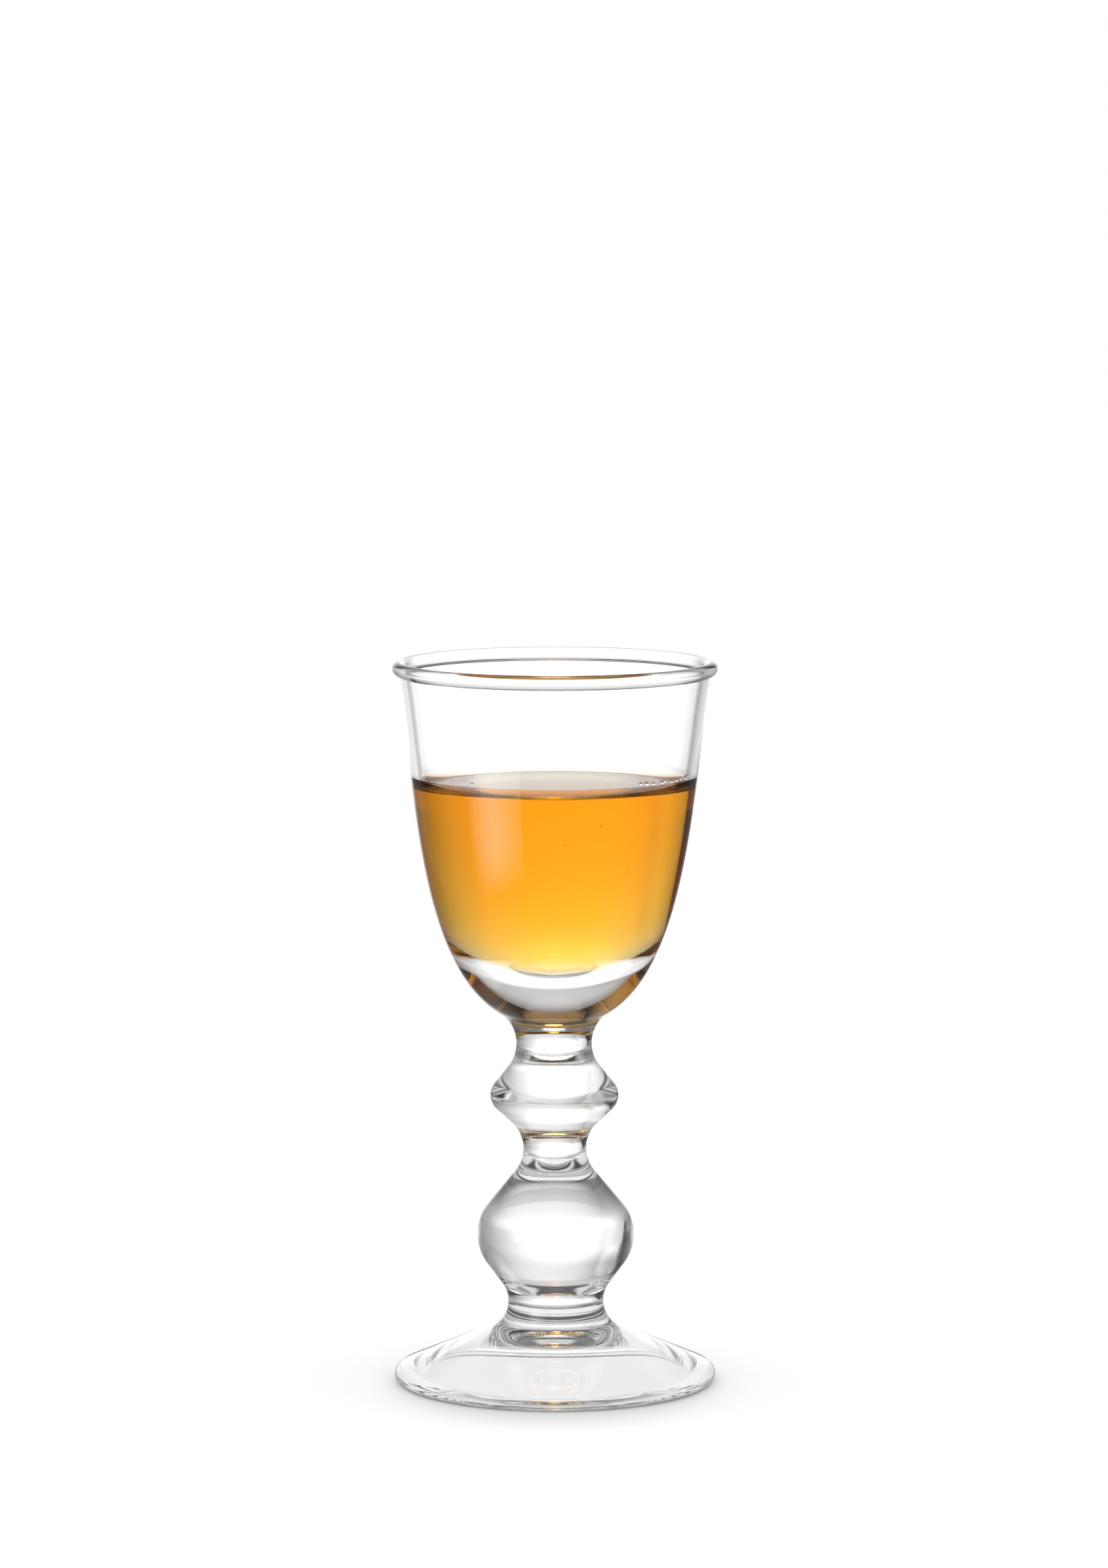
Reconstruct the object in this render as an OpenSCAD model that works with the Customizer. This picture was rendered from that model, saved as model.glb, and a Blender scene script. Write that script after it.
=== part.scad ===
// Sherry glass
// A hand-made glass: a deep bowl with a rolled rim on a stem of two knops and a coned foot,
// with a measure of sherry in it. All sizes are in millimetres, and the glass stands on z = 0.

/* [Rim] */
// Diameter over the rolled bead of the rim
rim_d = 64.5; // [58:0.5:72]
// How far the bead stands out past the wall of the bowl
bead_out = 1.15; // [0.6:0.05:1.6]
// How far the bead stands in past the wall of the bowl
bead_in = 0.2; // [0.1:0.05:0.4]

/* [Bowl] */
// Thickness of the wall where it runs into the bead
wall_t = 1.6; // [1.2:0.05:2.2]
// Depth of the bowl from the top of the rim to its inside bottom
bowl_depth = 60.4; // [52:0.2:68]
// Height of the inside bottom above the narrowest place of the upper neck
bowl_base_t = 15.75; // [13:0.25:22]
// Lean of the outside of the wall at the rim, in degrees from upright
mouth_lean = 11.5; // [6:0.5:16]
// Lean of the outside of the bowl where it leaves the neck, in degrees from upright
base_lean = 58.5; // [50:0.5:66]
// Length of the upper handle of the outside curve
mouth_pull = 16.5; // [10:0.5:22]
// Length of the lower handle of the outside curve
base_pull = 20.2; // [14:0.5:24]
// Lean of the inside of the wall at the rim, in degrees from upright
inside_lean = 9.8; // [6:0.2:13]
// Length of the upper handle of the inside curve
inside_mouth_pull = 21.5; // [14:0.5:28]
// Length of the flat handle of the inside curve at the bottom
inside_floor_pull = 27; // [20:0.5:28]

/* [Stem] */
// Width of the upper neck, between the bowl and the upper knop
upper_neck_d = 15.1; // [12:0.1:18]
// Radius of the hollow curve of the upper neck
upper_neck_round = 7.1; // [4:0.1:9]
// Height of the upper neck above the middle of the upper knop
upper_neck_rise = 10.35; // [9:0.05:13]
// Width of the upper knop
upper_knop_d = 25.6; // [22:0.1:29]
// Radius of the nose of the upper knop
upper_knop_round = 3.8; // [2.5:0.1:4.6]
// Height of the middle of the upper knop above the mid neck
upper_knop_rise = 10.75; // [9:0.05:14]
// Width of the mid neck, between the two knops
mid_neck_d = 12.6; // [10:0.1:16]
// Radius of the hollow curve of the mid neck
mid_neck_round = 6.9; // [4:0.1:9]
// Height of the mid neck above the middle of the lower knop
mid_neck_rise = 17.2; // [15:0.1:21]
// Width of the lower knop
lower_knop_d = 31.3; // [27:0.1:35]
// Radius of the nose of the lower knop
lower_knop_round = 9.5; // [7:0.1:10.5]
// Height of the middle of the lower knop above the lower neck
lower_knop_rise = 13.45; // [12:0.05:17]
// Width of the lower neck, between the lower knop and the foot
lower_neck_d = 19; // [16:0.1:22]
// Radius of the hollow curve of the lower neck
lower_neck_round = 6.1; // [4:0.1:8]
// Height of the lower neck above the table
lower_neck_h = 16.1; // [13:0.1:20]

/* [Foot] */
// Diameter of the foot
foot_d = 63.8; // [56:0.2:72]
// Thickness of the rounded edge of the foot
foot_edge_t = 3; // [2:0.1:4]
// Width of the flat ring that the foot stands on
rest_w = 3; // [2:0.1:5]
// Depth of the hollow under the foot at its middle
hollow_h = 9; // [5:0.1:10]

/* [Sherry] */
// Depth of the sherry at the middle of the bowl
fill_depth = 35.6; // [16:0.2:42]
// How far the sherry climbs the wall of the bowl
meniscus_h = 2.3; // [1:0.1:2.8]
// Width of the curved edge of the sherry
meniscus_w = 3; // [2:0.1:3.6]

/* [Hidden] */
$fn = 96;

// Steps in each curve
arc_steps = 7;
curve_steps = 22;
// Share of the room between a neck and a knop that their curves may fill
round_room_share = 0.98;
// Share of its width that the edge of the sherry may climb, so that it stays less steep than the wall
climb_share = 0.8;

// Heights above the table
mid_knop_h = lower_neck_h + lower_knop_rise;
mid_neck_h = mid_knop_h + mid_neck_rise;
upper_knop_h = mid_neck_h + upper_knop_rise;
upper_neck_h = upper_knop_h + upper_neck_rise;
floor_h = upper_neck_h + bowl_base_t;
height = floor_h + bowl_depth;
fill_h = floor_h + fill_depth;

// The bead's round section
bead_r = (wall_t + bead_out + bead_in) / 2;
bead_ring_r = rim_d / 2 - bead_r;
bead_h = height - bead_r;

// The wall runs up into the bead to where the bead's round meets the inside of the wall
mouth_r = rim_d / 2 - bead_out;
mouth_in_r = mouth_r - wall_t;
mouth_h = bead_h - sqrt(2 * bead_r * bead_in - bead_in * bead_in);

// Largest sum of the two radii that lets a straight flank join a neck and a knop
function round_room(knop_d, neck_d, rise) =
    let (step = (knop_d - neck_d) / 2)
    round_room_share * (step * step + rise * rise) / (2 * step);

// A neck's hollow curve is kept within the room beside each knop
upper_neck_r = min(upper_neck_round,
    round_room(upper_knop_d, upper_neck_d, upper_neck_rise) - upper_knop_round);
mid_neck_r = min(mid_neck_round,
    round_room(upper_knop_d, mid_neck_d, upper_knop_rise) - upper_knop_round,
    round_room(lower_knop_d, mid_neck_d, mid_neck_rise) - lower_knop_round);
lower_neck_r = min(lower_neck_round,
    round_room(lower_knop_d, lower_neck_d, lower_knop_rise) - lower_knop_round,
    round_room(foot_d, lower_neck_d, lower_neck_h - foot_edge_t / 2) - foot_edge_t / 2);

// Each ring of the stem is [centre of its curve, signed radius]: a knop's is positive and a neck's negative
upper_neck = [[upper_neck_d / 2 + upper_neck_r, upper_neck_h], -upper_neck_r];
upper_ring = [[upper_knop_d / 2 - upper_knop_round, upper_knop_h], upper_knop_round];
mid_neck = [[mid_neck_d / 2 + mid_neck_r, mid_neck_h], -mid_neck_r];
lower_ring = [[lower_knop_d / 2 - lower_knop_round, mid_knop_h], lower_knop_round];
lower_neck = [[lower_neck_d / 2 + lower_neck_r, lower_neck_h], -lower_neck_r];
foot_ring = [[foot_d / 2 - foot_edge_t / 2, foot_edge_t / 2], foot_edge_t / 2];

// Direction in which the straight flank between two rings faces, the upper ring first
function flank(above, below) =
    let (way = below[0] - above[0])
    atan2(way[1], way[0]) + acos((above[1] - below[1]) / norm(way));

// Points along a ring's curve between two facing directions
function arc(ring, from, to) =
    [for (i = [0:arc_steps])
        let (a = from + (to - from) * i / arc_steps)
        ring[0] + ring[1] * [cos(a), sin(a)]];

// Points along a curve with two end points and two handle points
function curve(start, pull, push, end) =
    [for (i = [0:curve_steps])
        let (t = i / curve_steps, u = 1 - t)
        u * u * u * start + 3 * u * u * t * pull + 3 * u * t * t * push + t * t * t * end];

upper_flank = flank(upper_neck, upper_ring);
under_flank = flank(upper_ring, mid_neck);
shoulder_flank = flank(mid_neck, lower_ring);
belly_flank = flank(lower_ring, lower_neck);
foot_flank = flank(lower_neck, foot_ring);

// The stem ends and the foot begins where the lower neck's curve meets the cone
foot_seam = lower_neck[0] + lower_neck[1] * [cos(foot_flank), sin(foot_flank)];

// Outside of the bowl, from the neck up to the rim
base_point = upper_neck[0] + upper_neck[1] * [cos(base_lean), -sin(base_lean)];
bowl_outside = curve(
    base_point,
    base_point + base_pull * [sin(base_lean), cos(base_lean)],
    [mouth_r, mouth_h] - mouth_pull * [sin(mouth_lean), cos(mouth_lean)],
    [mouth_r, mouth_h]);

// Inside of the bowl, from the rim down to the bottom
bowl_inside = curve(
    [mouth_in_r, mouth_h],
    [mouth_in_r, mouth_h] - inside_mouth_pull * [sin(inside_lean), cos(inside_lean)],
    [inside_floor_pull, floor_h],
    [0, floor_h]);

// The sherry meets the wall a little above its level
climb_h = min(meniscus_h, climb_share * meniscus_w);
contact_h = fill_h + climb_h;
contact_r = lookup(contact_h, [for (p = bowl_inside) [p[1], p[0]]]);
meniscus_r = (meniscus_w * meniscus_w + climb_h * climb_h) / (2 * climb_h);
meniscus_turn = 2 * atan(climb_h / meniscus_w);
meniscus = [[contact_r - meniscus_w, fill_h + meniscus_r], meniscus_r];

// The hollow under the foot is part of a large ball
hollow_r = foot_d / 2 - foot_edge_t / 2 - rest_w;
hollow_ball_r = (hollow_r * hollow_r + hollow_h * hollow_h) / (2 * hollow_h);
hollow_ball = [[0, hollow_h - hollow_ball_r], hollow_ball_r];

module turned(outline) {
    rotate_extrude() polygon(outline);
}

// Wall and thick base of the bowl
module bowl_body() {
    turned(concat(
        [[0, upper_neck_h]],
        arc(upper_neck, 0, -base_lean),
        [for (i = [1:curve_steps]) bowl_outside[i]],
        bowl_inside));
}

// Rolled bead that closes the wall at the rim
module lip_bead() {
    color("lightcyan")
    difference() {
        rotate_extrude() translate([bead_ring_r, bead_h]) circle(bead_r);
        bowl_body();
    }
}

module bowl() {
    color("lightblue") bowl_body();
}

// Upper knop with half of the neck above it and half of the neck below it
module upper_knop() {
    color("skyblue") turned(concat(
        [[0, upper_neck_h]],
        arc(upper_neck, 0, upper_flank),
        arc(upper_ring, upper_flank, 0),
        arc(upper_ring, 0, under_flank),
        arc(mid_neck, under_flank, 0),
        [[0, mid_neck_h]]));
}

// Lower knop with its shoulder, the lower neck and the flared end on the foot
module lower_knop() {
    color("cadetblue") turned(concat(
        [[0, mid_neck_h]],
        arc(mid_neck, 0, shoulder_flank),
        arc(lower_ring, shoulder_flank, 0),
        arc(lower_ring, 0, belly_flank),
        arc(lower_neck, belly_flank, 0),
        arc(lower_neck, 0, foot_flank),
        [[0, foot_seam[1]]]));
}

// Coned foot with a rounded edge and a domed hollow under it
module foot() {
    color("powderblue") turned(concat(
        [[0, foot_seam[1]], foot_seam],
        arc(foot_ring, foot_flank, 0),
        arc(foot_ring, 0, -90),
        arc(hollow_ball, acos(hollow_r / hollow_ball_r), 90)));
}

// Sherry that fills the bowl up to its level, with a curved edge at the wall
module sherry() {
    color("orange") turned(concat(
        [[0, fill_h]],
        arc(meniscus, -90, -90 + meniscus_turn),
        [for (p = bowl_inside) if (p[1] < contact_h) p]));
}

lip_bead();
bowl();
upper_knop();
lower_knop();
foot();
sherry();
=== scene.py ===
import math

import bmesh
import bpy
from bpy.props import FloatProperty, FloatVectorProperty, IntProperty, PointerProperty
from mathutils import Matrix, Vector


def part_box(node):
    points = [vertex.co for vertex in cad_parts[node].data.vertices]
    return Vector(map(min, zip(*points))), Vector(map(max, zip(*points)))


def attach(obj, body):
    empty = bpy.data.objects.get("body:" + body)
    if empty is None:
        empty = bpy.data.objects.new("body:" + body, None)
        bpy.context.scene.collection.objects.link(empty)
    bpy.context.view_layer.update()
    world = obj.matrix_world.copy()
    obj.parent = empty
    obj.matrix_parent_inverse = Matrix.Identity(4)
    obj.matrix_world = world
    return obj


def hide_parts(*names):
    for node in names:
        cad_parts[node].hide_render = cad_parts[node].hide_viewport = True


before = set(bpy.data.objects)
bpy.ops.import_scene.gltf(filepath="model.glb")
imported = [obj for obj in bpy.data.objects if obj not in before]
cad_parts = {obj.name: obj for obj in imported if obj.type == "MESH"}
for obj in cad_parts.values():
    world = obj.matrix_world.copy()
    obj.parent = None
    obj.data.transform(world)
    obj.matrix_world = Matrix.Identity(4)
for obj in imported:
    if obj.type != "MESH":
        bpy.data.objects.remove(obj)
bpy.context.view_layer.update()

bl_info = {
    "name": "Sherry glass",
    "version": (1, 0, 0),
    "blender": (4, 5, 0),
    "location": "3D View > Sidebar > Sherry Glass",
    "description": "Builds a hand-made sherry glass, its measure of sherry and a plain studio",
    "category": "Add Mesh",
}

MM = 0.001
# Longest length that a user may set
LENGTH_LIMIT = 200 * MM
# A ring's curve is drawn with a point about every this many degrees
ARC_STEP = 2.0
CURVE_STEPS = 110
# Points of an outline closer than this are one point
SAME_POINT = 0.0001 * MM
# No straight stretch of an outline is longer than this, so that the hand's wander can bend it
LONGEST_STRETCH = 0.9 * MM
# Where the sherry meets the wall, points of the outline closer than this would spoil the shading
CONTACT_ROOM = 0.2 * MM
# Points of a turned mesh closer than this are merged, which closes its seam and its poles
SEAM_ROOM = 0.001 * MM
# Edges that turn by more than this stay crisp
CRISP_ANGLE = math.radians(60)
# The axis sways as a sine of the height's share, raised to this power so that it turns sooner in the stem
SWAY_POWER = 0.6
# Each stretch of an outline is free skin, a joint where two pieces are fused, skin that the sherry wets, or
# the inside of the wall above the sherry
SKIN, JOINT, WET, DRY = 0, 1, 2, 3
# How much the glass, the bead, the sherry and the bubbles bend light
GLASS_BENDS = 1.51
BEAD_BENDS = 1.52
SHERRY_BENDS = 1.345
BUBBLE_BENDS = 1.3
# How fast the sherry takes up light, per metre
SHERRY_STRENGTH = 112.0
# What every clear, smooth skin has
CLEAR_SKIN = {"Roughness": 0.0, "Transmission Weight": 1.0}
# Where the middle of the backdrop lies, seen from the glass, and the middle of its narrow lower part
BACKDROP = (-0.052, 0.9986, 0.0)
NARROW_BACKDROP = (0.087, 0.996, 0.0)
# Width of the square of paper, in metres
PAPER_SIZE = 6.0
# The reflector card is bent round the glass, between two angles in degrees from straight in front
CARD_AWAY = 190 * MM
CARD_START, CARD_END = 25.5, 76.0
CARD_BOTTOM, CARD_TOP = 1 * MM, 160 * MM
CARD_STEPS = 12
# The photograph's camera: its lens in millimetres, its place, and by how many degrees it looks down
CAMERA_LENS = 148.27
CAMERA_PLACE = (-0.15 * MM, -1267.6 * MM, 263.33 * MM)
CAMERA_DIP = 6.471


def reach(node):
    """Largest radius of a CAD node."""
    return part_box(node)[1].x


def head(node):
    """Height of a CAD node's top."""
    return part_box(node)[1].z


def base(node):
    """Height of a CAD node's bottom."""
    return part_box(node)[0].z


def linear(hex_colour):
    """An sRGB hex colour as the linear colour that the shader takes."""
    values = [int(hex_colour[i : i + 2], 16) / 255 for i in (1, 3, 5)]
    return (*[v / 12.92 if v <= 0.04045 else ((v + 0.055) / 1.055) ** 2.4 for v in values], 1.0)


def colour(name, description, hex_colour):
    """A colour that a user may change."""
    return FloatVectorProperty(
        name=name,
        description=description,
        default=linear(hex_colour),
        subtype="COLOR",
        size=4,
        min=0.0,
        max=1.0,
    )


def length(name, description, default):
    """A length in metres that a user may change."""
    return FloatProperty(
        name=name,
        description=description,
        default=default,
        min=0.0,
        max=LENGTH_LIMIT,
        precision=5,
        unit="LENGTH",
    )


def count(name, description, default, least=1, most=60):
    """A whole number that a user may change."""
    return IntProperty(name=name, description=description, default=default, min=least, max=most)


def turn(name, description, degrees):
    """An angle that a user may change."""
    return FloatProperty(name=name, description=description, default=math.radians(degrees), subtype="ANGLE")


class RimSizes(bpy.types.PropertyGroup):
    """Sizes of the rolled bead."""

    reach: length("Reach", "Radius over the bead", reach("lip_bead"))
    height: length("Height", "Height of the rim above the table", head("lip_bead"))
    overhang: length("Overhang", "How far the bead stands out past the wall", 1.15 * MM)
    inset: length("Inset", "How far the bead stands in past the wall", 0.2 * MM)


class BowlSizes(bpy.types.PropertyGroup):
    """Sizes of the bowl."""

    mouth: length("Mouth", "Outside radius of the wall where it runs into the bead", reach("bowl"))
    mouth_height: length("Mouth Height", "Height of the wall's top", head("bowl"))
    foot_height: length("Seam Height", "Height of the seam between bowl and stem", base("bowl"))
    floor_height: length("Floor Height", "Height of the inside bottom", base("sherry"))
    wall: length("Wall", "Thickness of the wall at the mouth", 1.6 * MM)
    mouth_lean: turn("Mouth Lean", "Lean of the outside at the mouth, from upright", 11.5)
    base_lean: turn("Base Lean", "Lean of the outside where it leaves the neck, from upright", 58.5)
    mouth_pull: length("Mouth Pull", "Length of the outside curve's upper handle", 16.5 * MM)
    base_pull: length("Base Pull", "Length of the outside curve's lower handle", 20.2 * MM)
    inside_lean: turn("Inside Lean", "Lean of the inside at the mouth, from upright", 9.8)
    inside_mouth_pull: length("Inside Mouth Pull", "Length of the inside curve's upper handle", 21.5 * MM)
    inside_floor_pull: length("Inside Floor Pull", "Length of the inside curve's flat handle", 27.0 * MM)


class StemSizes(bpy.types.PropertyGroup):
    """Sizes of the stem's necks and knops."""

    upper_neck: length("Upper Neck", "Radius of the neck under the bowl", 7.55 * MM)
    upper_neck_round: length("Upper Neck Round", "Radius of its hollow curve", 7.1 * MM)
    upper_knop: length("Upper Knop", "Radius of the upper knop", reach("upper_knop"))
    upper_knop_height: length("Upper Knop Height", "Height of its middle", base("upper_knop") + 10.75 * MM)
    upper_knop_round: length("Upper Knop Round", "Radius of its nose", 3.8 * MM)
    mid_neck: length("Mid Neck", "Radius of the neck between the knops", 6.3 * MM)
    mid_neck_height: length("Mid Neck Height", "Height of the mid neck", base("upper_knop"))
    mid_neck_round: length("Mid Neck Round", "Radius of its hollow curve", 6.9 * MM)
    lower_knop: length("Lower Knop", "Radius of the lower knop", reach("lower_knop"))
    lower_knop_height: length("Lower Knop Height", "Height of its middle", head("lower_knop") - 17.2 * MM)
    lower_knop_round: length("Lower Knop Round", "Radius of its nose", 9.5 * MM)
    lower_neck: length("Lower Neck", "Radius of the neck above the foot", 9.5 * MM)
    lower_neck_height: length("Lower Neck Height", "Height of the lower neck", 16.1 * MM)
    lower_neck_round: length("Lower Neck Round", "Radius of its hollow curve", 6.1 * MM)


class FootSizes(bpy.types.PropertyGroup):
    """Sizes of the foot."""

    reach: length("Reach", "Radius of the foot", reach("foot"))
    edge: length("Edge", "Thickness of the rounded edge", 3.0 * MM)
    rest: length("Rest", "Width of the flat ring that the foot stands on", 3.0 * MM)
    hollow: length("Hollow", "Depth of the hollow under the foot", 9.0 * MM)


class DrinkSizes(bpy.types.PropertyGroup):
    """Sizes of the measure of sherry."""

    climb: length("Climb", "How far the sherry climbs the wall", 2.3 * MM)
    climb_width: length("Climb Width", "Width of the curved edge of the surface", 3.0 * MM)
    bubble: length("Bubble", "Radius of the largest bubble at the wall", 0.48 * MM)
    bubbles: count("Bubbles", "Bubbles at the right of the wall", 13)
    specks: count("Specks", "Specks of cork dust in the sherry", 5)
    soak: length("Soak", "How far the sherry reaches into the wall, so that no air lies between", 0.03 * MM)


class GlassColours(bpy.types.PropertyGroup):
    """Colours of the glass and of what is in it."""

    glass: colour("Glass", "What the clear glass lets through", "#fdfdfd")
    sherry: colour("Sherry", "What a thin layer of the sherry lets through", "#fee55d")
    bubble: colour("Bubble", "What the film of a bubble lets through", "#ffffff")
    cork: colour("Cork", "Colour of the cork specks", "#4a2a12")


class HandSizes(bpy.types.PropertyGroup):
    """How the glass departs from a true turned shape."""

    steps: count("Steps", "Steps round each turned piece", 224, 24, 512)
    wander: length("Wander", "How far the axis wanders to the side", 0.22 * MM)


class SherryGlass(bpy.types.PropertyGroup):
    """Everything that a user may change."""

    rim: PointerProperty(type=RimSizes)
    bowl: PointerProperty(type=BowlSizes)
    stem: PointerProperty(type=StemSizes)
    foot: PointerProperty(type=FootSizes)
    drink: PointerProperty(type=DrinkSizes)
    hand: PointerProperty(type=HandSizes)
    colours: PointerProperty(type=GlassColours)


def point(radius, height):
    """A point of an outline."""
    return Vector((radius, height))


def facing(angle):
    """The direction at an angle above level, pointing away from the axis."""
    return Vector((math.cos(angle), math.sin(angle)))


class Ring:
    """A round stretch of the outline: convex on a knop, hollow on a neck."""

    def __init__(self, middle, radius):
        self.middle = middle
        self.radius = radius

    def at(self, angle):
        return self.middle + self.radius * facing(angle)

    def arc(self, start, end):
        steps = max(3, math.ceil(math.degrees(abs(end - start)) / ARC_STEP))
        return [self.at(start + (end - start) * i / steps) for i in range(steps + 1)]


def knop(widest, height, nose):
    return Ring(point(widest - nose, height), nose)


def neck(narrowest, height, hollow):
    return Ring(point(narrowest + hollow, height), -hollow)


def flank(above, below):
    """Direction in which the straight flank between two rings faces."""
    way = below.middle - above.middle
    return math.atan2(way.y, way.x) + math.acos((above.radius - below.radius) / way.length)


def curve(start, pull, push, end):
    """Points along a curve with two end points and two handles."""
    points = []
    for i in range(CURVE_STEPS + 1):
        t = i / CURVE_STEPS
        u = 1 - t
        points.append(u**3 * start + 3 * u * u * t * pull + 3 * u * t * t * push + t**3 * end)
    return points


class Outlines:
    """The outline of each turned piece, worked out from the user's sizes."""

    def __init__(self, sizes):
        self.sizes = sizes
        stem, foot, bowl, rim = sizes.stem, sizes.foot, sizes.bowl, sizes.rim
        self.upper_neck = neck(stem.upper_neck, bowl.foot_height, stem.upper_neck_round)
        self.upper_ring = knop(stem.upper_knop, stem.upper_knop_height, stem.upper_knop_round)
        self.mid_neck = neck(stem.mid_neck, stem.mid_neck_height, stem.mid_neck_round)
        self.lower_ring = knop(stem.lower_knop, stem.lower_knop_height, stem.lower_knop_round)
        self.lower_neck = neck(stem.lower_neck, stem.lower_neck_height, stem.lower_neck_round)
        self.foot_edge = knop(foot.reach, foot.edge / 2, foot.edge / 2)
        self.foot_flank = flank(self.lower_neck, self.foot_edge)
        bead = (bowl.wall + rim.overhang + rim.inset) / 2
        self.bead = Ring(point(rim.reach - bead, rim.height - bead), bead)
        self.outside = self.bowl_outside()
        self.inside = self.bowl_inside()
        self.crease = self.find_crease()
        self.dry_wall, self.wet_wall = self.parted_inside()

    def bowl_outside(self):
        """From the neck up to the mouth."""
        bowl = self.sizes.bowl
        start = self.upper_neck.at(-bowl.base_lean)
        end = point(bowl.mouth, bowl.mouth_height)
        rise = Vector((math.sin(bowl.base_lean), math.cos(bowl.base_lean)))
        drop = Vector((math.sin(bowl.mouth_lean), math.cos(bowl.mouth_lean)))
        return curve(start, start + bowl.base_pull * rise, end - bowl.mouth_pull * drop, end)

    def bowl_inside(self):
        """From the mouth down to the inside bottom."""
        bowl = self.sizes.bowl
        start = point(bowl.mouth - bowl.wall, bowl.mouth_height)
        drop = Vector((math.sin(bowl.inside_lean), math.cos(bowl.inside_lean)))
        push = point(bowl.inside_floor_pull, bowl.floor_height)
        return curve(start, start - bowl.inside_mouth_pull * drop, push, point(0, bowl.floor_height))

    def find_crease(self):
        """Where the bead's round leaves the wall's outside: how many points lie below it, and the point."""
        for i in range(len(self.outside) - 1, 0, -1):
            near, far = self.outside[i], self.outside[i - 1]
            if (far - self.bead.middle).length > self.bead.radius:
                break
        inner = (near - self.bead.middle).length
        outer = (far - self.bead.middle).length
        share = (self.bead.radius - inner) / (outer - inner)
        return i, near.lerp(far, share)

    def parted_inside(self):
        """The inside above and below the line where the sherry meets the wall."""
        top = head("sherry")
        below = next(i for i, p in enumerate(self.inside) if p.y < top)
        above, under = self.inside[below - 1], self.inside[below]
        contact = under.lerp(above, (top - under.y) / (above.y - under.y))
        dry = [p for p in self.inside[:below] if (p - contact).length > CONTACT_ROOM]
        wet = [p for p in self.inside[below:] if (p - contact).length > CONTACT_ROOM]
        return dry + [contact], [contact] + wet

    def lip_bead(self):
        """Round of the bead from the crease over the top to the inside, and the joint with the wall."""
        i, crease = self.crease
        away = crease - self.bead.middle
        inner = self.inside[0] - self.bead.middle
        start = math.atan2(away.y, away.x)
        end = math.atan2(inner.y, inner.x) + math.tau
        round_part = self.bead.arc(start, end)
        round_part[0], round_part[-1] = crease, self.inside[0]
        return [(SKIN, round_part), (JOINT, [self.inside[0], *reversed(self.outside[i:]), crease])]

    def bowl(self):
        """Thick base and wall. The top of the wall, inside the bead, is a joint."""
        i, crease = self.crease
        lean = self.sizes.bowl.base_lean
        seam = [point(0, self.upper_neck.middle.y), self.upper_neck.at(0)]
        skin = self.upper_neck.arc(0, -lean)[:-1] + self.outside[:i] + [crease]
        return [
            (JOINT, seam),
            (SKIN, skin),
            (JOINT, [crease, *self.outside[i:], self.inside[0]]),
            (DRY, self.dry_wall),
            (WET, self.wet_wall),
        ]

    def upper_knop(self):
        """Upper knop between the narrowest places of its two necks."""
        over, under = flank(self.upper_neck, self.upper_ring), flank(self.upper_ring, self.mid_neck)
        skin = self.upper_neck.arc(0, over) + self.upper_ring.arc(over, 0)[0:-1]
        skin += self.upper_ring.arc(0, under) + self.mid_neck.arc(under, 0)
        return self.between_seams(skin)

    def lower_knop(self):
        """Lower knop with its shoulder, the lower neck and the flared end on the foot."""
        over, under = flank(self.mid_neck, self.lower_ring), flank(self.lower_ring, self.lower_neck)
        skin = self.mid_neck.arc(0, over) + self.lower_ring.arc(over, 0)[0:-1]
        skin += self.lower_ring.arc(0, under) + self.lower_neck.arc(under, self.foot_flank)
        return self.between_seams(skin)

    def between_seams(self, skin):
        """A solid piece with a flat joint at its top and at its bottom."""
        return [
            (JOINT, [point(0, skin[0].y), skin[0]]),
            (SKIN, skin),
            (JOINT, [skin[-1], point(0, skin[-1].y)]),
        ]

    def foot(self):
        """Cone, rounded edge, flat rest and the hollow under the foot."""
        sizes = self.sizes.foot
        seam = self.lower_neck.at(self.foot_flank)
        rim = self.foot_edge.arc(self.foot_flank, 0)[:-1] + self.foot_edge.arc(0, -math.pi / 2)
        hollow = sizes.reach - sizes.edge / 2 - sizes.rest
        ball = (hollow**2 + sizes.hollow**2) / (2 * sizes.hollow)
        under = Ring(point(0, sizes.hollow - ball), ball).arc(math.acos(hollow / ball), math.pi / 2)
        return [(JOINT, [point(0, seam.y), seam]), (SKIN, [seam, *rim, *under])]

    def sherry(self):
        """Surface with its climb at the wall, and the side, which reaches a little into the glass."""
        drink = self.sizes.drink
        wet = self.wet_wall
        level = wet[0].y - drink.climb
        bend = (drink.climb_width**2 + drink.climb**2) / (2 * drink.climb)
        rise = 2 * math.atan(drink.climb / drink.climb_width)
        swing = Ring(point(wet[0].x - drink.climb_width, level + bend), bend)
        edge = swing.arc(-math.pi / 2, rise - math.pi / 2)
        soaked = []
        for i, p in enumerate(wet):
            way = (wet[min(i + 1, len(wet) - 1)] - wet[max(i - 1, 0)]).normalized()
            soaked.append(p + drink.soak * Vector((-way.y, way.x)))
        soaked[-1].x = 0
        return [(SKIN, [point(0, level), *edge[:-1], soaked[0]]), (WET, soaked)]


def add_node(tree, kind, inputs=None, **settings):
    """Adds a node with its settings, and fills its inputs with values or links.

    A node among the inputs stands for its first output.
    """
    node = tree.nodes.new(kind)
    for name, value in settings.items():
        setattr(node, name, value)
    for key, value in (inputs or {}).items():
        if isinstance(value, bpy.types.Node):
            value = value.outputs[0]
        if isinstance(value, bpy.types.NodeSocket):
            tree.links.new(value, node.inputs[key])
        else:
            node.inputs[key].default_value = value
    return node


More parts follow.
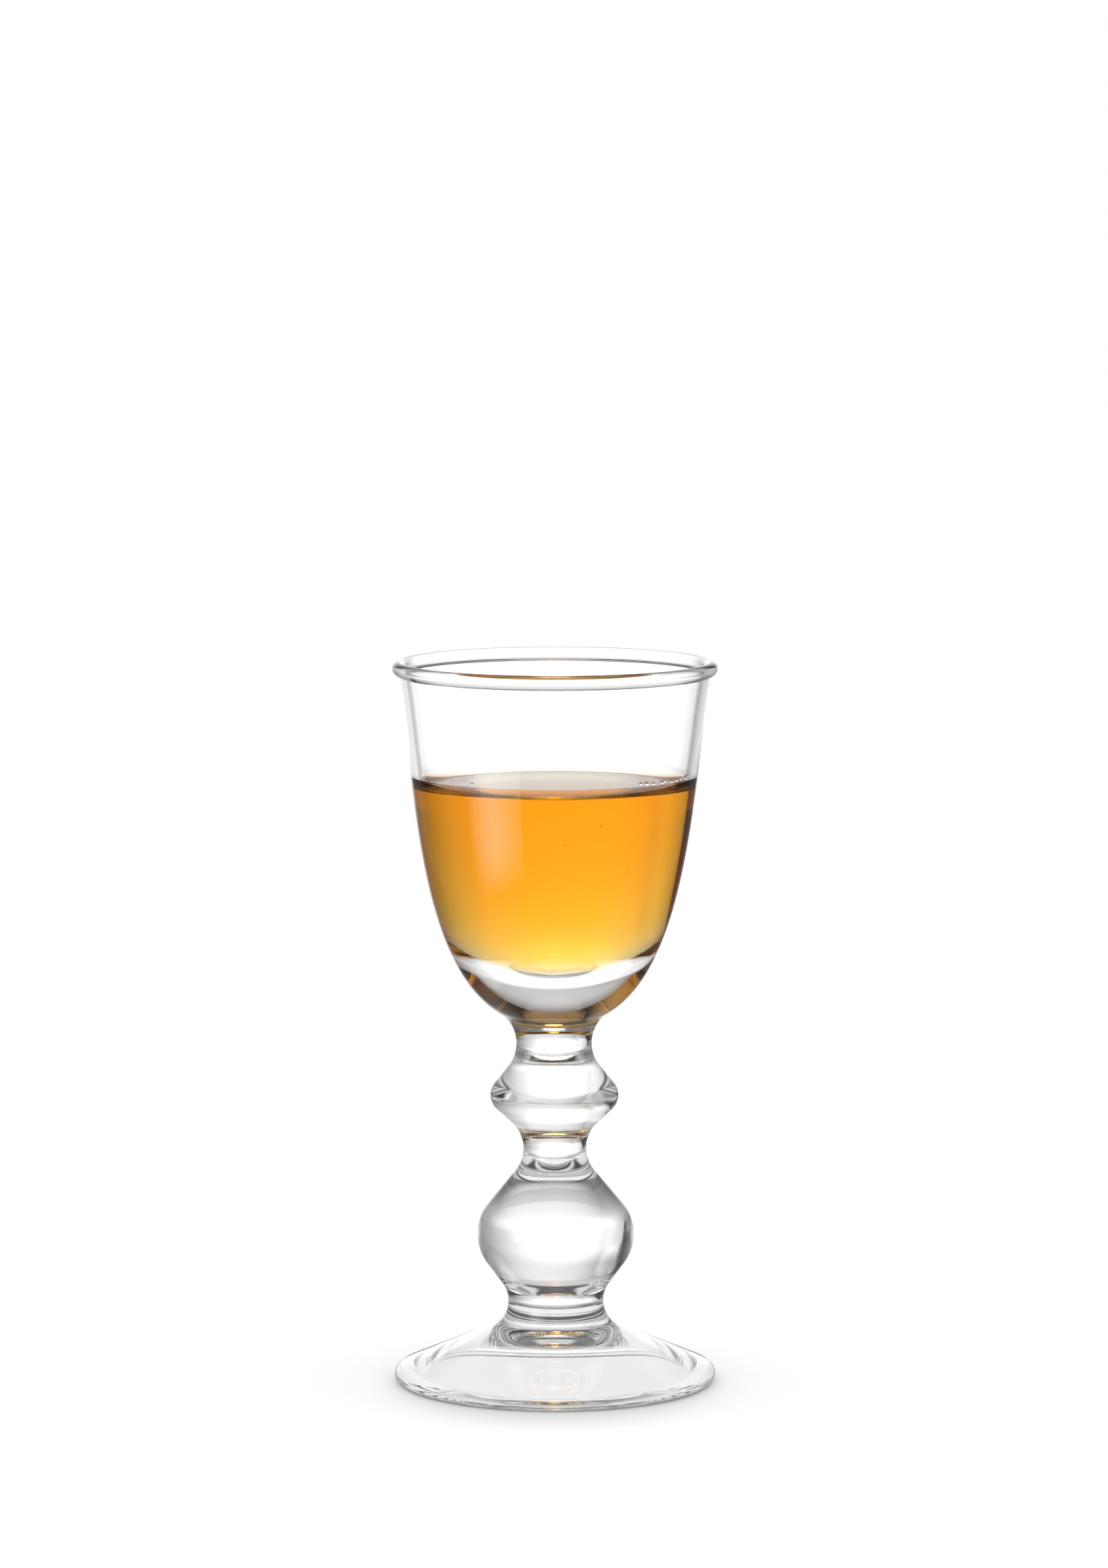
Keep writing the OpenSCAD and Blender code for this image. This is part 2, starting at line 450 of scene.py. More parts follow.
def plus_steps(tree, value, *steps):
    """A value plus soft steps, each a measure, where the step starts and ends, and how far it rises."""
    for measure, start, end, rise in steps:
        step = add_node(
            tree,
            "ShaderNodeMapRange",
            {"Value": measure, "From Min": start, "From Max": end, "To Max": rise},
            interpolation_type="SMOOTHSTEP",
        )
        value = add_node(tree, "ShaderNodeMath", {0: step, 1: value}, operation="ADD")
    return value


def times_steps(tree, value, *steps):
    """A value times soft steps, each a measure, where the step starts and ends, and its factors there."""
    for measure, start, end, first, last in steps:
        step = add_node(
            tree,
            "ShaderNodeMapRange",
            {"Value": measure, "From Min": start, "From Max": end, "To Min": first, "To Max": last},
            interpolation_type="SMOOTHSTEP",
        )
        value = add_node(tree, "ShaderNodeMath", {0: step, 1: value}, operation="MULTIPLY")
    return value


def new_tree(name, inputs, output):
    """A Geometry Nodes tree with named inputs and one shape as its output, and the sockets of its inputs."""
    tree = bpy.data.node_groups.new(name, "GeometryNodeTree")
    tree.is_modifier = True
    for label, kind in inputs.items():
        tree.interface.new_socket(label, in_out="INPUT", socket_type="NodeSocket" + kind)
    tree.interface.new_socket(output, in_out="OUTPUT", socket_type="NodeSocketGeometry")
    return tree, add_node(tree, "NodeGroupInput").outputs


def clad(tree, shape, skin):
    """Smooths a shape, makes it real and gives it its skin."""
    smooth = add_node(tree, "GeometryNodeSetShadeSmooth", {"Geometry": shape})
    real = add_node(tree, "GeometryNodeRealizeInstances", {"Geometry": smooth})
    return add_node(tree, "GeometryNodeSetMaterial", {"Geometry": real, "Material": skin})


def turning_tree():
    """Geometry Nodes tree that turns an outline round the axis and lets the axis wander a little."""
    inputs = {
        "Outline": "Geometry",
        "Steps Round": "Int",
        "Wander": "Float",
        "Height": "Float",
        "Skin": "Material",
        "Joint": "Material",
        "Wetted": "Material",
    }
    tree, given = new_tree("Turned glass", inputs, "Turned")
    counts = add_node(tree, "GeometryNodeAttributeDomainSize", {"Geometry": given["Outline"]}).outputs
    points = counts["Point Count"]
    last = add_node(tree, "ShaderNodeMath", {0: points, 1: 1.0}, operation="SUBTRACT")
    rows = add_node(tree, "ShaderNodeMath", {0: given["Steps Round"], 1: 1.0}, operation="ADD")
    sizes = {"Size X": 1.0, "Size Y": 1.0, "Vertices X": points, "Vertices Y": rows}
    grid = add_node(tree, "GeometryNodeMeshGrid", sizes)
    # The grid is centred: one way across it is the way along the outline, and the other is the turn
    place = add_node(tree, "GeometryNodeInputPosition").outputs[0]
    across = add_node(tree, "ShaderNodeSeparateXYZ", {0: place}).outputs
    shares = [add_node(tree, "ShaderNodeMath", {0: across[axis], 1: 0.5}, operation="ADD") for axis in "XY"]
    along = add_node(tree, "ShaderNodeMath", {0: shares[0], 1: last}, operation="MULTIPLY")
    angle = add_node(tree, "ShaderNodeMath", {0: shares[1], 1: math.tau}, operation="MULTIPLY")

    # Each face keeps the kind of skin that the outline says for the stretch it comes from
    named = add_node(tree, "GeometryNodeInputNamedAttribute", {"Name": "kind"}, data_type="INT")
    kind = named.outputs["Attribute"]
    stretch = add_node(tree, "ShaderNodeMath", {0: along}, operation="FLOOR")
    told = add_node(
        tree,
        "GeometryNodeSampleIndex",
        {"Geometry": given["Outline"], "Value": kind, "Index": stretch},
        data_type="INT",
        domain="POINT",
    ).outputs["Value"]
    marked = add_node(
        tree,
        "GeometryNodeStoreNamedAttribute",
        {"Geometry": grid, "Name": "kind", "Value": told},
        data_type="INT",
        domain="FACE",
    )

    nearest = add_node(tree, "ShaderNodeMath", {0: along}, operation="ROUND")
    drawn = add_node(
        tree,
        "GeometryNodeSampleIndex",
        {"Geometry": given["Outline"], "Value": place, "Index": nearest},
        data_type="FLOAT_VECTOR",
        domain="POINT",
    ).outputs["Value"]
    outline = add_node(tree, "ShaderNodeSeparateXYZ", {0: drawn}).outputs
    radius, height = outline["X"], outline["Z"]
    # The axis leans one way in the stem and the other way in the bowl, and is true at the table and the rim
    risen = add_node(tree, "ShaderNodeMath", {0: height, 1: given["Height"]}, operation="DIVIDE")
    bowed = add_node(tree, "ShaderNodeMath", {0: risen, 1: SWAY_POWER}, operation="POWER")
    wave = add_node(tree, "ShaderNodeMath", {0: bowed, 1: math.tau}, operation="MULTIPLY")
    sway = add_node(tree, "ShaderNodeMath", {0: wave}, operation="SINE")
    aside = add_node(tree, "ShaderNodeMath", {0: sway, 1: given["Wander"]}, operation="MULTIPLY")
    cosine = add_node(tree, "ShaderNodeMath", {0: angle}, operation="COSINE")
    sine = add_node(tree, "ShaderNodeMath", {0: angle}, operation="SINE")
    x = add_node(tree, "ShaderNodeMath", {0: cosine, 1: radius, 2: aside}, operation="MULTIPLY_ADD")
    y = add_node(tree, "ShaderNodeMath", {0: sine, 1: radius}, operation="MULTIPLY")
    turned_place = add_node(tree, "ShaderNodeCombineXYZ", {"X": x, "Y": y, "Z": height})
    turned = add_node(tree, "GeometryNodeSetPosition", {"Geometry": marked, "Position": turned_place})
    # Closes the seam down the side and the two poles on the axis
    closed = add_node(tree, "GeometryNodeMergeByDistance", {"Geometry": turned, "Distance": SEAM_ROOM})
    piece = clad(tree, closed, given["Skin"])
    for material, wanted in (("Joint", JOINT), ("Wetted", WET)):
        both = {2: kind, 3: wanted}
        match = add_node(tree, "FunctionNodeCompare", both, data_type="INT", operation="EQUAL")
        chosen = {"Geometry": piece, "Selection": match, "Material": given[material]}
        piece = add_node(tree, "GeometryNodeSetMaterial", chosen)
    add_node(tree, "NodeGroupOutput", {"Turned": piece})
    return tree


def made_by_tree(name, start, tree, values):
    """The plain mesh that a tree makes from a starting mesh and its named inputs, as an object."""
    thing = bpy.data.objects.new(name, start)
    bpy.context.scene.collection.objects.link(thing)
    modifier = thing.modifiers.new(tree.name, "NODES")
    modifier.node_group = tree
    sockets = {s.name: s.identifier for s in tree.interface.items_tree if s.in_out == "INPUT"}
    for key, value in values.items():
        modifier[sockets[key]] = value
    mesh = bpy.data.meshes.new_from_object(thing.evaluated_get(bpy.context.evaluated_depsgraph_get()))
    mesh.name = name
    thing.modifiers.clear()
    thing.data = mesh
    return thing


def outline_mesh(name, parts):
    """A chain of points for the turning tree. Each point says of what kind the stretch after it is."""
    points, kinds = [], []
    for kind, part in parts:
        for a, b in zip(part, part[1:]):
            cuts = max(1, math.ceil((b - a).length / LONGEST_STRETCH))
            for k in range(cuts):
                p = a.lerp(b, k / cuts)
                if points and (p - points[-1]).length < SAME_POINT:
                    continue
                points.append(p)
                kinds.append(kind)
    last = parts[-1][1][-1]
    if (points[-1] - last).length > SAME_POINT:
        closing = (points[0] - last).length < SAME_POINT
        points.append(points[0].copy() if closing else last)
        kinds.append(kinds[-1])
    mesh = bpy.data.meshes.new(name)
    mesh.from_pydata([(p.x, 0.0, p.y) for p in points], [(i, i + 1) for i in range(len(points) - 1)], [])
    told = mesh.attributes.new("kind", "INT", "POINT")
    told.data.foreach_set("value", kinds)
    return mesh


def turned_piece(name, parts, sizes, skin, wetted):
    """Turns an outline into a closed plain mesh, with crisp edges round its joints."""
    tree = bpy.data.node_groups.get("Turned glass") or turning_tree()
    values = {
        "Steps Round": sizes.hand.steps,
        "Wander": sizes.hand.wander,
        "Height": sizes.rim.height,
        "Skin": skin,
        "Joint": fused_joint(),
        "Wetted": wetted,
    }
    thing = made_by_tree(name, outline_mesh(name + "_outline", parts), tree, values)
    shell = bmesh.new()
    shell.from_mesh(thing.data)
    bmesh.ops.recalc_face_normals(shell, faces=shell.faces)
    for edge in shell.edges:
        same = len({f.material_index for f in edge.link_faces}) == 1
        edge.smooth = same and edge.calc_face_angle(0.0) < CRISP_ANGLE
    if not all(edge.is_manifold for edge in shell.edges):
        raise RuntimeError(f"{name} isn't closed")
    shell.to_mesh(thing.data)
    shell.free()
    return thing


def beads_tree():
    """Geometry Nodes tree that strings small round beads along the inside of the wall."""
    inputs = {"Geometry": "Geometry", "Count": "Int", "Seed": "Int"}
    inputs |= dict.fromkeys(("Ring", "Height", "Spread", "Aside", "Start", "End", "Largest"), "Float")
    inputs["Skin"] = "Material"
    tree, given = new_tree("Beads along the wall", inputs, "Beads")

    def chance(low, high, draw):
        seed = add_node(tree, "ShaderNodeMath", {0: given["Seed"], 1: float(draw)}, operation="ADD")
        return add_node(tree, "FunctionNodeRandomValue", {2: low, 3: high, "Seed": seed}).outputs[1]

    drawn = chance(0.45, 1.0, 0)
    size = add_node(tree, "ShaderNodeMath", {0: drawn, 1: given["Largest"]}, operation="MULTIPLY")
    index = add_node(tree, "GeometryNodeInputIndex")
    loose = add_node(tree, "ShaderNodeMath", {0: index, 1: chance(0.1, 0.9, 1)}, operation="ADD")
    share = add_node(tree, "ShaderNodeMath", {0: loose, 1: given["Count"]}, operation="DIVIDE")
    spans = {"Factor": share, "A": given["Start"], "B": given["End"]}
    angle = add_node(tree, "ShaderNodeMix", spans, data_type="FLOAT", clamp_factor=False)
    radius = add_node(tree, "ShaderNodeMath", {0: given["Ring"], 1: size}, operation="SUBTRACT")
    cosine = add_node(tree, "ShaderNodeMath", {0: angle}, operation="COSINE")
    sine = add_node(tree, "ShaderNodeMath", {0: angle}, operation="SINE")
    x = add_node(tree, "ShaderNodeMath", {0: cosine, 1: radius, 2: given["Aside"]}, operation="MULTIPLY_ADD")
    y = add_node(tree, "ShaderNodeMath", {0: sine, 1: radius}, operation="MULTIPLY")
    climb = {0: chance(-1.0, 1.0, 2), 1: given["Spread"], 2: given["Height"]}
    z = add_node(tree, "ShaderNodeMath", climb, operation="MULTIPLY_ADD")
    place = add_node(tree, "ShaderNodeCombineXYZ", {"X": x, "Y": y, "Z": z})
    points = add_node(tree, "GeometryNodePoints", {"Count": given["Count"], "Position": place})
    ball = add_node(tree, "GeometryNodeMeshIcoSphere", {"Radius": 1.0, "Subdivisions": 3})
    strung = {"Points": points, "Instance": ball, "Scale": size}
    beads = add_node(tree, "GeometryNodeInstanceOnPoints", strung)
    add_node(tree, "NodeGroupOutput", {"Beads": clad(tree, beads, given["Skin"])})
    return tree


def string_of_beads(name, values):
    """Makes the beads as a plain mesh from the tree's named inputs."""
    tree = bpy.data.node_groups.get("Beads along the wall") or beads_tree()
    return made_by_tree(name, bpy.data.meshes.new(name + "_start"), tree, values)


def new_material(name):
    """An empty material and its tree."""
    material = bpy.data.materials.get(name) or bpy.data.materials.new(name)
    material.use_nodes = True
    material.node_tree.nodes.clear()
    return material, material.node_tree


def chosen_colours():
    """The colours as the user has set them."""
    return bpy.context.scene.sherry_glass.colours


def soda_lime_glass():
    """Clear soda-lime glass, blown and fire-polished: it has no colour of its own and is mirror-smooth."""
    material, tree = new_material("soda_lime_glass")
    skin = {**CLEAR_SKIN, "Base Color": chosen_colours().glass, "IOR": GLASS_BENDS}
    shader = add_node(tree, "ShaderNodeBsdfPrincipled", skin)
    add_node(tree, "ShaderNodeOutputMaterial", {"Surface": shader})
    return material


def blown_glass():
    """Glass of the blown bowl: clear, but the colour of the inside of its dry wall is painted grey where it's
    nearly edge on, as painted shade.
    """
    material, tree = new_material("blown_soda_lime_glass")
    kind = add_node(tree, "ShaderNodeAttribute", attribute_name="kind").outputs["Fac"]
    facing = add_node(tree, "ShaderNodeLayerWeight").outputs["Facing"]
    dry = add_node(tree, "ShaderNodeMath", {0: kind, 1: DRY - 0.5}, operation="GREATER_THAN")
    # Painted shade: where the dry inside wall is seen nearly edge on, its colour is darkened toward grey
    edge = times_steps(tree, dry, (facing, 0.71, 0.82, 0.0, 0.75))
    clearness_with_painted_shade = add_node(tree, "ShaderNodeMath", {0: 0.98, 1: edge}, operation="SUBTRACT")
    skin = {**CLEAR_SKIN, "Base Color": clearness_with_painted_shade, "IOR": GLASS_BENDS}
    shader = add_node(tree, "ShaderNodeBsdfPrincipled", skin)
    add_node(tree, "ShaderNodeOutputMaterial", {"Surface": shader})
    return material


def rolled_glass():
    """Glass of the rolled bead: thick and round, its colour is painted grey toward its edges, a painted shade
    which draws the rim's outline.
    """
    material, tree = new_material("fire_polished_bead_glass")
    facing = add_node(tree, "ShaderNodeLayerWeight").outputs["Facing"]
    # Painted shade: the colour goes from clear to dark grey where the bead is seen edge on
    clearness_with_painted_shade = times_steps(tree, 1.0, (facing, 0.40, 0.90, 1.0, 0.15))
    skin = {**CLEAR_SKIN, "Base Color": clearness_with_painted_shade, "IOR": BEAD_BENDS}
    shader = add_node(tree, "ShaderNodeBsdfPrincipled", skin)
    add_node(tree, "ShaderNodeOutputMaterial", {"Surface": shader})
    return material


def wetted_glass():
    """The same glass where the sherry wets it: they bend light nearly alike, so it hardly mirrors."""
    material, tree = new_material("wetted_soda_lime_glass")
    skin = {**CLEAR_SKIN, "Base Color": chosen_colours().glass, "IOR": GLASS_BENDS}
    skin["Specular Tint"] = linear("#000000")
    shader = add_node(tree, "ShaderNodeBsdfPrincipled", skin)
    add_node(tree, "ShaderNodeOutputMaterial", {"Surface": shader})
    return material


def fused_joint():
    """A joint fused while the glass was soft: nothing shows there, because the glass is one mass."""
    material, tree = new_material("fused_joint")
    shader = add_node(tree, "ShaderNodeBsdfTransparent", {"Color": linear("#ffffff")})
    add_node(tree, "ShaderNodeOutputMaterial", {"Surface": shader})
    return material


def amber_sherry():
    """Sherry: a clear liquid that takes up blue first, so thin sherry is yellow and deep sherry orange.

    Its top mirrors the studio, and at a glance its colour is painted darker, a painted shade that hides much
    of what is under it. Its side hardly mirrors.
    """
    material, tree = new_material("amber_sherry")
    kind = add_node(tree, "ShaderNodeAttribute", attribute_name="kind").outputs["Fac"]
    facing = add_node(tree, "ShaderNodeLayerWeight").outputs["Facing"]
    top = add_node(tree, "ShaderNodeMath", {0: kind, 1: WET - 0.5}, operation="LESS_THAN")
    # Painted shade: the top's colour darkens in two soft steps where it is seen at a glance
    glance = plus_steps(tree, 0.0, (facing, 0.20, 0.50, 0.28), (facing, 0.74, 0.88, 0.60))
    painted_top_shade = add_node(tree, "ShaderNodeMath", {0: top, 1: glance}, operation="MULTIPLY")
    clearness_with_painted_shade = add_node(tree, "ShaderNodeMath", {0: 1.0, 1: painted_top_shade}, operation="SUBTRACT")
    skin = {**CLEAR_SKIN, "Base Color": clearness_with_painted_shade, "IOR": SHERRY_BENDS, "Specular Tint": top}
    shader = add_node(tree, "ShaderNodeBsdfPrincipled", skin)
    depth = {"Color": chosen_colours().sherry, "Density": SHERRY_STRENGTH}
    body = add_node(tree, "ShaderNodeVolumeAbsorption", depth)
    add_node(tree, "ShaderNodeOutputMaterial", {"Surface": shader, "Volume": body})
    return material


def bubble_film():
    """Small bubbles that cling to the wall: round and clear, so each one shows the studio upside down."""
    material, tree = new_material("sherry_bubble_film")
    skin = {**CLEAR_SKIN, "Base Color": chosen_colours().bubble, "IOR": BUBBLE_BENDS}
    shader = add_node(tree, "ShaderNodeBsdfPrincipled", skin)
    add_node(tree, "ShaderNodeOutputMaterial", {"Surface": shader})
    return material


def cork_specks():
    """Specks of cork dust: matt and brown, they show as dark points in the sherry."""
    material, tree = new_material("cork_dust")
    skin = {"Base Color": chosen_colours().cork, "Roughness": 0.9}
    shader = add_node(tree, "ShaderNodeBsdfPrincipled", skin)
    add_node(tree, "ShaderNodeOutputMaterial", {"Surface": shader})
    return material


def finish_piece(thing, node):
    """Rides a glass piece on the one rigid body and lets it stand for its CAD node."""
    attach(thing, "root")
    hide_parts(node)


class BuildPiece:
    """What all the turned pieces share."""

    bl_options = {"REGISTER", "UNDO"}

    def turned(self, context, name, outline, skin, wetted):
        sizes = context.scene.sherry_glass
        return turned_piece(name, outline(Outlines(sizes)), sizes, skin, wetted)


class SHERRY_OT_lip_bead(BuildPiece, bpy.types.Operator):
    """Turn the rolled, fire-polished bead of the rim"""

    bl_idname = "sherry.lip_bead"
    bl_label = "Rim Bead"

    def execute(self, context):
        thing = self.turned(context, "rolled_bead", Outlines.lip_bead, rolled_glass(), wetted_glass())
        finish_piece(thing, "lip_bead")
        return {"FINISHED"}


class SHERRY_OT_bowl(BuildPiece, bpy.types.Operator):
    """Turn the blown bowl with its thick base"""

    bl_idname = "sherry.bowl"
    bl_label = "Bowl"

    def execute(self, context):
        thing = self.turned(context, "blown_bowl", Outlines.bowl, blown_glass(), wetted_glass())
        finish_piece(thing, "bowl")
        return {"FINISHED"}


class SHERRY_OT_stem(BuildPiece, bpy.types.Operator):
    """Turn the two solid knops of the stem"""

    bl_idname = "sherry.stem"
    bl_label = "Knops"

    def execute(self, context):
        glass = (soda_lime_glass(), wetted_glass())
        upper = self.turned(context, "solid_upper_knop", Outlines.upper_knop, *glass)
        finish_piece(upper, "upper_knop")
        lower = self.turned(context, "solid_lower_knop", Outlines.lower_knop, *glass)
        finish_piece(lower, "lower_knop")
        return {"FINISHED"}


class SHERRY_OT_foot(BuildPiece, bpy.types.Operator):
    """Turn the coned foot"""

    bl_idname = "sherry.foot"
    bl_label = "Foot"

    def execute(self, context):
        thing = self.turned(context, "coned_foot", Outlines.foot, soda_lime_glass(), wetted_glass())
        finish_piece(thing, "foot")
        return {"FINISHED"}


class SHERRY_OT_drink(BuildPiece, bpy.types.Operator):
    """Pour the measure of sherry"""

    bl_idname = "sherry.drink"
    bl_label = "Sherry"

    def execute(self, context):
        thing = self.turned(context, "poured_sherry", Outlines.sherry, amber_sherry(), amber_sherry())
        finish_piece(thing, "sherry")
        return {"FINISHED"}


class SHERRY_OT_specks(bpy.types.Operator):
    """Strew the small bubbles at the wall and the specks in the sherry"""

    bl_idname = "sherry.specks"
    bl_label = "Bubbles and Specks"

    def execute(self, context):
        sizes = context.scene.sherry_glass
        drink = sizes.drink
        contact = Outlines(sizes).wet_wall[0]
        sway = math.sin(math.tau * (contact.y / sizes.rim.height) ** SWAY_POWER)
        bubbles = {
            "Count": drink.bubbles,
            "Seed": 5,
            "Ring": contact.x,
            "Height": contact.y + drink.bubble,
            "Spread": 0.15 * MM,
            "Aside": sway * sizes.hand.wander,
            "Start": math.radians(-54),
            "End": math.radians(-3),
            "Largest": drink.bubble,
            "Skin": bubble_film(),
        }
        lone = {**bubbles, "Count": 1, "Start": math.radians(-128), "End": math.radians(-125)}
        specks = {
            **bubbles,
            "Count": drink.specks,
            "Seed": 11,
            "Ring": contact.x - 3 * MM,
            "Height": contact.y - 13 * MM,
            "Spread": 6 * MM,
            "Start": math.radians(-140),
            "End": math.radians(-40),
            "Largest": 0.12 * MM,
            "Skin": cork_specks(),
        }
        for name, values in (("wall_bubbles", bubbles), ("lone_bubble", lone), ("cork_specks", specks)):
            thing = string_of_beads(name, values)
            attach(thing, "root")
        return {"FINISHED"}


def plane(name, size):
    """A flat square that faces up, round the origin."""
    half = size / 2
    corners = [(-half, -half, 0), (half, -half, 0), (half, half, 0), (-half, half, 0)]
    mesh = bpy.data.meshes.new(name)
    mesh.from_pydata(corners, [], [(0, 1, 2, 3)])
    thing = bpy.data.objects.new(name, mesh)
    bpy.context.scene.collection.objects.link(thing)
    return thing


def round_about(tree, way, target):
    """Cosine of the angle, seen from above, between a direction and another, level one."""
    flat = add_node(tree, "ShaderNodeVectorMath", {0: way, 1: (1.0, 1.0, 0.0)}, operation="MULTIPLY")
    level = add_node(tree, "ShaderNodeVectorMath", {0: flat}, operation="NORMALIZE")
    near = add_node(tree, "ShaderNodeVectorMath", {0: level, 1: target}, operation="DOT_PRODUCT")
    return near.outputs["Value"]


def horizon_light(tree, way):
    """Light near the horizon: brightest behind the glass, dim beside it, and fair again in front of it."""
    behind = round_about(tree, way, BACKDROP)
    rear = add_node(tree, "ShaderNodeMath", {0: behind, 1: 0.0}, operation="MAXIMUM")
    lobe = add_node(tree, "ShaderNodeMath", {0: rear, 1: 6.0}, operation="POWER")
    room = add_node(tree, "ShaderNodeMath", {0: lobe, 1: 1.24, 2: 0.26}, operation="MULTIPLY_ADD")
    front = (behind, -0.15, -0.75, 0.42)
    # A pale card stands at the left of the backdrop, with a dark gap beside it, and a faint one at the right
    card = (round_about(tree, way, (-0.656, 0.755, 0.0)), 0.960, 0.997, 0.28)
    wing = (round_about(tree, way, (0.707, 0.707, 0.0)), 0.90, 0.99, 0.10)
    gap = (round_about(tree, way, (-0.799, 0.602, 0.0)), 0.9975, 0.9993, 1.0, 0.2)
    # Light walls stand square to the sides, so that the glass isn't smoky when it's seen from there
    squareness = add_node(tree, "ShaderNodeMath", {0: behind}, operation="ABSOLUTE")
    walls = (squareness, 0.36, 0.16, 0.42)
    return times_steps(tree, plus_steps(tree, room, front, card, wing, walls), gap)


def as_glass_shows(tree, light, path, *mirror_shades):
    """Light as rays from the glass find it: less of it is mirrored, and less of it reaches the paper."""
    # Rays that the glass bends count as glossy too, so they are taken off those that were mirrored last
    rays = {0: path["Is Glossy Ray"], 1: path["Is Transmission Ray"]}
    mirrored = add_node(tree, "ShaderNodeMath", rays, operation="SUBTRACT")
    lost = times_steps(tree, mirrored, *mirror_shades)
    left = add_node(tree, "ShaderNodeMath", {0: 1.0, 1: lost}, operation="SUBTRACT")
    # The glass scatters the light that reaches the paper by way of it, so that most of it is lost
    scattered = add_node(tree, "ShaderNodeMath", {0: path["Diffuse Depth"], 1: 1.0}, operation="MINIMUM")
    through = add_node(tree, "ShaderNodeMath", {0: scattered, 1: -0.85, 2: 1.0}, operation="MULTIPLY_ADD")
    for share in (left, through):
        light = add_node(tree, "ShaderNodeMath", {0: light, 1: share}, operation="MULTIPLY")
    return light


def studio_surroundings():
    """A lit backdrop that fades to the sides, with lamps and panels round it, in a dimmer room.

    Matt things get an even light.
    """
    world = bpy.data.worlds.new("studio")
    world.use_nodes = True
    world.cycles.sampling_method = "NONE"
    tree = world.node_tree
    tree.nodes.clear()
    way = add_node(tree, "ShaderNodeTexCoord").outputs["Generated"]
    height = add_node(tree, "ShaderNodeSeparateXYZ", {0: way}).outputs["Z"]
    behind = round_about(tree, way, BACKDROP)
    # Backdrop: bright and narrow up to 28 degrees, duller and wider above that, gone by 68 degrees
    narrow = plus_steps(tree, 0.0, (round_about(tree, way, NARROW_BACKDROP), 0.72, 1.06, 0.84))
    wide = plus_steps(tree, 0.0, (behind, 0.40, 1.06, 0.84))
    widening = {"Factor": plus_steps(tree, 0.0, (height, 0.42, 0.55, 1.0)), "A": narrow, "B": wide}
    across = add_node(tree, "ShaderNodeMix", widening, data_type="FLOAT")
    up = plus_steps(tree, 0.0, (height, 0.93, 0.58, 0.70), (height, 0.485, 0.42, 0.30))
    # Room: lighter beside and behind the glass than in front of it, and dark overhead
    room = times_steps(tree, 1.0, (behind, -0.75, -0.1, 0.07, 0.14), (height, 0.80, 0.45, 0.35, 1.0))
    high = add_node(tree, "ShaderNodeMath", {0: across, 1: up, 2: room}, operation="MULTIPLY_ADD")
    risen = plus_steps(tree, 0.0, (height, 0.05, 0.26, 1.0))
    climb = {"Factor": risen, "A": horizon_light(tree, way), "B": high}
    light = add_node(tree, "ShaderNodeMix", climb, data_type="FLOAT")
    # Each patch of light lies toward a direction, and grows from one nearness to it to another
    patches = {
        "key": ((-0.816, -0.071, 0.574), 0.80, 0.97, 0.45),
        "front fill": ((0.0, -0.375, 0.927), 0.93, 0.985, 0.22),
        "lamp": ((0.0, 0.191, 0.982), 0.9925, 0.998, 12.0),
        "window": ((0.641, 0.641, 0.423), 0.95, 0.985, 0.25),
        "right panel": ((0.32, 0.441, 0.839), 0.965, 0.985, 0.13),
        "left panel": ((-0.32, 0.441, 0.839), 0.965, 0.985, 0.10),
        "top panel": ((0.0, 0.342, 0.940), 0.980, 0.994, 0.60),
        "low panel": ((-0.579, 0.768, 0.276), 0.972, 0.990, 0.32),
    }
    for target, start, end, strength in patches.values():
        near = add_node(tree, "ShaderNodeVectorMath", {0: way, 1: target}, operation="DOT_PRODUCT")
        light = plus_steps(tree, light, (near.outputs["Value"], start, end, strength))
    # A black card at the left draws the dark wedge in the upper knop, and a grey one is at the front right
    for target, start, end, kept in (
        ((-0.823, 0.514, 0.242), 0.955, 0.985, 0.2),
        ((0.754, -0.633, 0.174), 0.93, 0.97, 0.35),
    ):
        near = add_node(tree, "ShaderNodeVectorMath", {0: way, 1: target}, operation="DOT_PRODUCT")
        light = times_steps(tree, light, (near.outputs["Value"], start, end, 1.0, kept))
    path = add_node(tree, "ShaderNodeLightPath").outputs
    light = as_glass_shows(tree, light, path, (behind, 0.99, 0.90, 0.0, 0.80), (height, 0.5, 0.3, 0.0, 1.0))
    rays = {0: path["Is Camera Ray"], 1: path["Is Diffuse Ray"]}
    plain = add_node(tree, "ShaderNodeMath", rays, operation="MAXIMUM")
    strength = add_node(tree, "ShaderNodeMix", {"Factor": plain, "A": light, "B": 1.0}, data_type="FLOAT")
    sky = add_node(tree, "ShaderNodeBackground", {"Color": linear("#ffffff"), "Strength": strength})
    add_node(tree, "ShaderNodeOutputWorld", {"Surface": sky})
    return world


